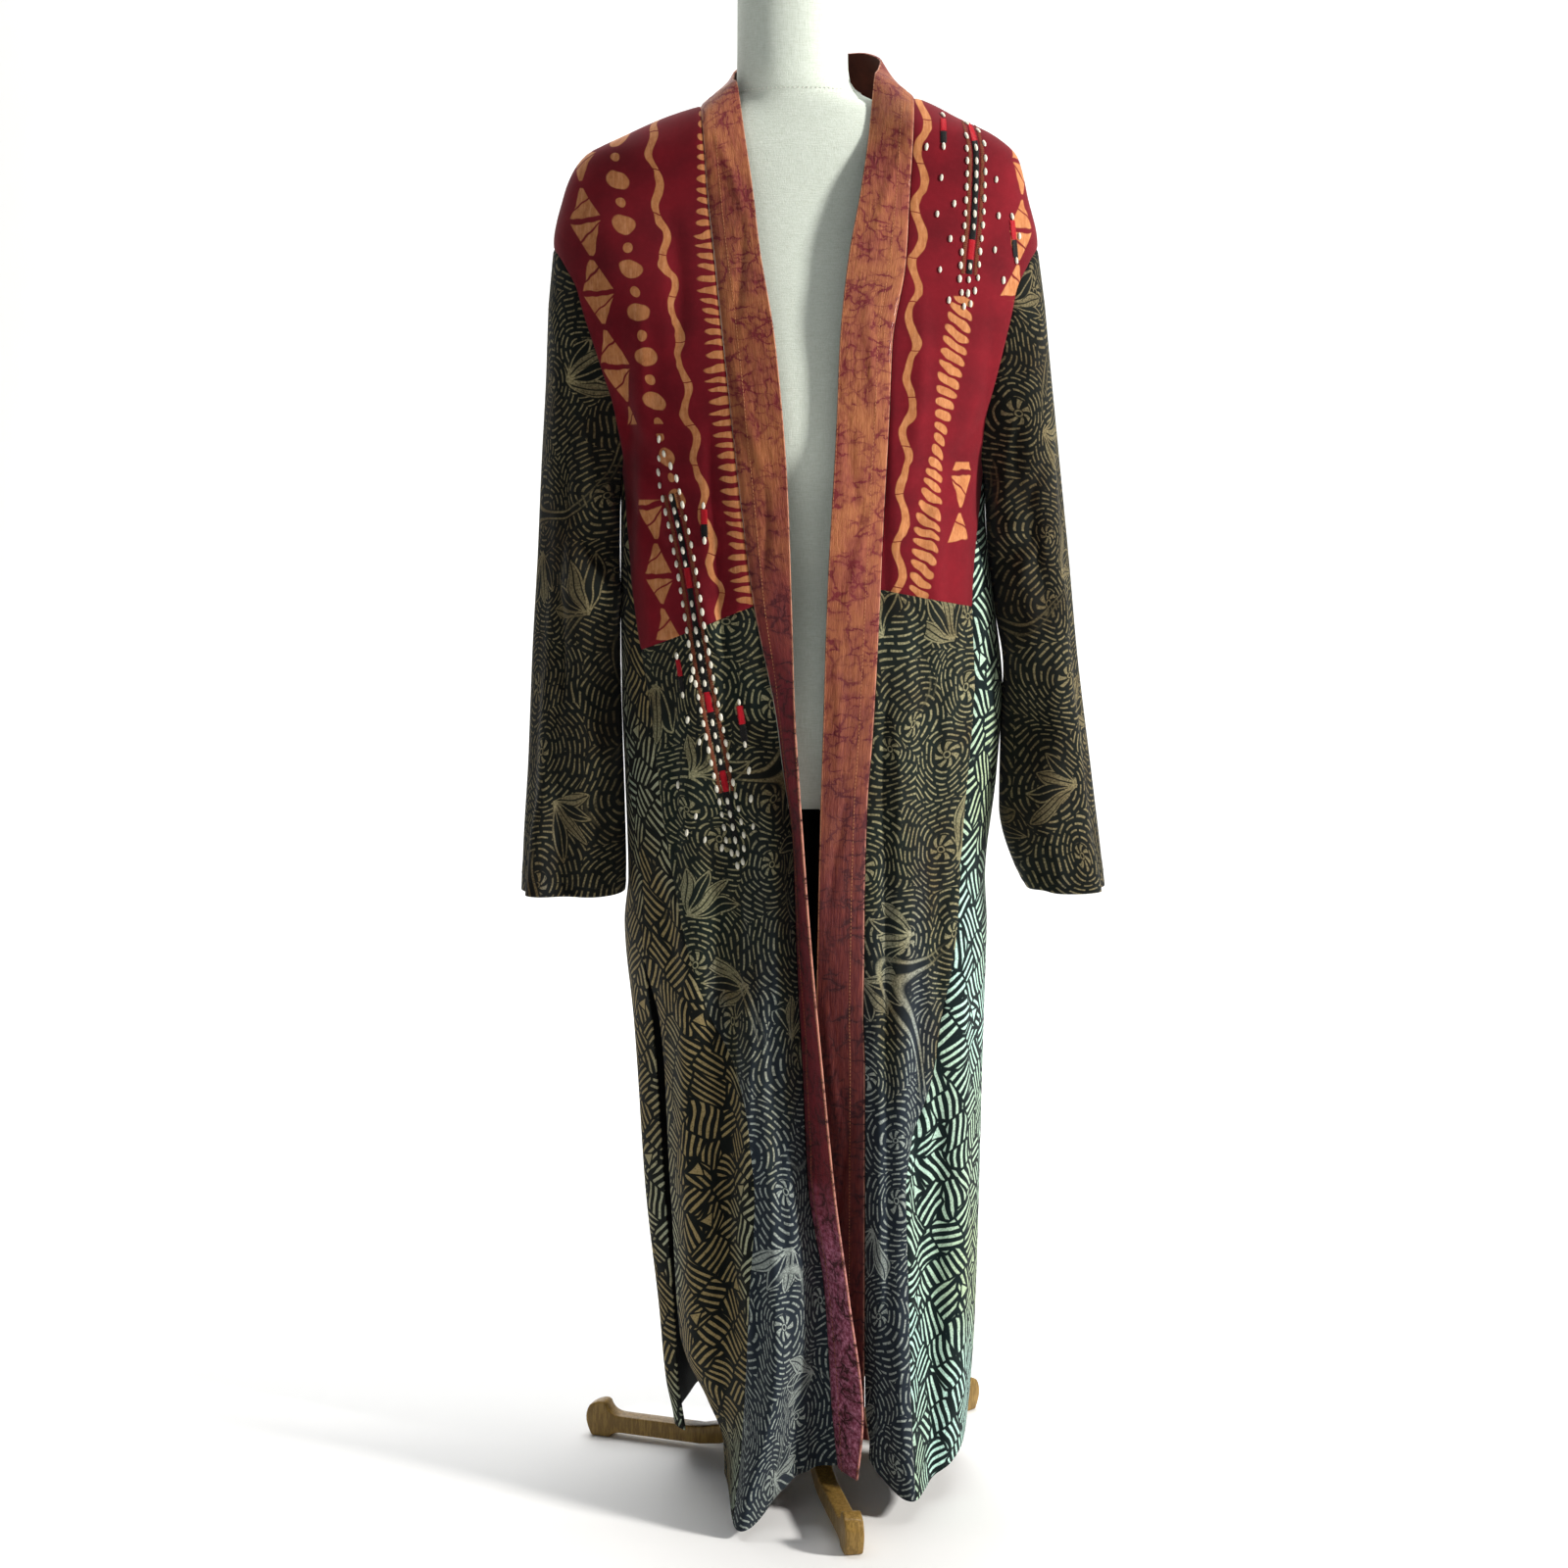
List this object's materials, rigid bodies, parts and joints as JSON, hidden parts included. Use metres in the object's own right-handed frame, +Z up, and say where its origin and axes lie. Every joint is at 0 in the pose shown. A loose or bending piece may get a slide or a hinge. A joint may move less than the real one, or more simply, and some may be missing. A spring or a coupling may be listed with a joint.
{
  "type": "kimono on a dress form",
  "caption": "Long open-front patchwork kimono with batik yokes, leaf-print body, side slits and a standing band, worn by a limbless dress form on a wooden tripod.",
  "frame": {"origin": "middle of the footprint, on the floor under the tripod's feet", "axes": "+Z up, the open front faces -Y, +X towards the wearer's left"},
  "size_m": [0.5696, 0.3971, 1.45],
  "materials": {
    "crimson_batik": "matte cotton with ochre batik motifs",
    "leaf_print": "matte cotton with khaki block-printed leaves",
    "stripe_print": "matte cotton with celadon bundles of stripes",
    "copper_band": "cotton sateen with maroon crackle",
    "form_linen": "off-white linen over a padded form",
    "stand_wood": "golden-brown varnish",
    "pole_black": "satin black paint"
  },
  "bodies": {
    "root": {"yoke_front_right": "crimson_batik", "yoke_front_left": "crimson_batik", "yoke_back": "crimson_batik", "front_lower_right": "leaf_print", "front_lower_left": "leaf_print", "back_lower": "leaf_print", "side_front_right": "stripe_print", "side_front_left": "stripe_print", "side_back_right": "stripe_print", "side_back_left": "stripe_print", "sleeve_right": "leaf_print", "sleeve_left": "leaf_print", "band_right": "copper_band", "band_left": "copper_band", "form_torso": "form_linen", "form_neck_cap": "form_linen", "stand_pole": "pole_black", "stand_hub": "stand_wood", "stand_leg_1": "stand_wood", "stand_leg_2": "stand_wood", "stand_leg_3": "stand_wood"}
  },
  "joints": []
}
